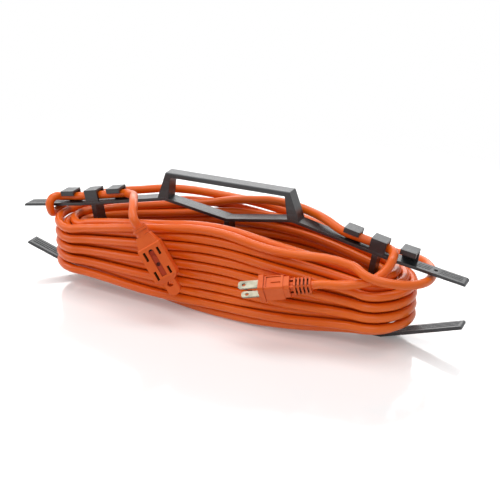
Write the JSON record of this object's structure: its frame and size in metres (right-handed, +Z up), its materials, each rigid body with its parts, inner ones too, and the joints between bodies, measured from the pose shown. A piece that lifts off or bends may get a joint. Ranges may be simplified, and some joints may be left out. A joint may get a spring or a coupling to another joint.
{
  "type": "extension cord on a winder",
  "caption": "Orange two-conductor outdoor extension cord wound in long loops on a flat black carrying winder with a handle, hook clips, a polarised plug and a connector with a sliding shutter.",
  "frame": {"origin": "on the standing surface, under the middle of the lower rail", "axes": "+X along the winder towards the plug's side, +Y through its thickness away from the plug, +Z up"},
  "size_m": [0.436, 0.1148, 0.1192],
  "materials": {
    "winder_plastic": "satin, moulded with fine lines along the arms",
    "cord_jacket": "smooth, slightly glossy vinyl",
    "moulded_orange": "satin, moulded over the cord",
    "shutter_plastic": "satin",
    "insert_plastic": "matte",
    "blade_metal": "nickel plated",
    "contact_brass": "stamped",
    "neutral_wire": "smooth",
    "line_wire": "smooth"
  },
  "bodies": {
    "winder": {"winder_upper_rail": "winder_plastic", "winder_lower_rail": "winder_plastic", "winder_left_post": "winder_plastic", "winder_centre_post": "winder_plastic", "winder_right_post": "winder_plastic", "winder_handle": "winder_plastic", "left_clip_1": "winder_plastic", "left_clip_2": "winder_plastic", "left_clip_3": "winder_plastic", "right_clip_1": "winder_plastic", "right_clip_2": "winder_plastic", "right_clip_3": "winder_plastic", "cord_winding": "cord_jacket", "plug_lead": "cord_jacket", "connector_lead": "cord_jacket", "plug_body": "moulded_orange", "plug_bridge": "insert_plastic", "neutral_blade": "blade_metal", "line_blade": "blade_metal", "plug_neutral_wire": "neutral_wire", "plug_line_wire": "line_wire", "connector_body": "moulded_orange", "neutral_contacts": "contact_brass", "line_contacts": "contact_brass", "contact_carrier": "insert_plastic", "connector_neutral_wire": "neutral_wire", "connector_line_wire": "line_wire"},
    "shutter": {"outlet_shutter": "shutter_plastic"}
  },
  "joints": [
    {"name": "shutter_slide", "type": "slide", "parent": "winder", "child": "shutter", "axis": [-0.565, 0.0395, 0.8241], "range_m": [0, 0.0056]}
  ]
}
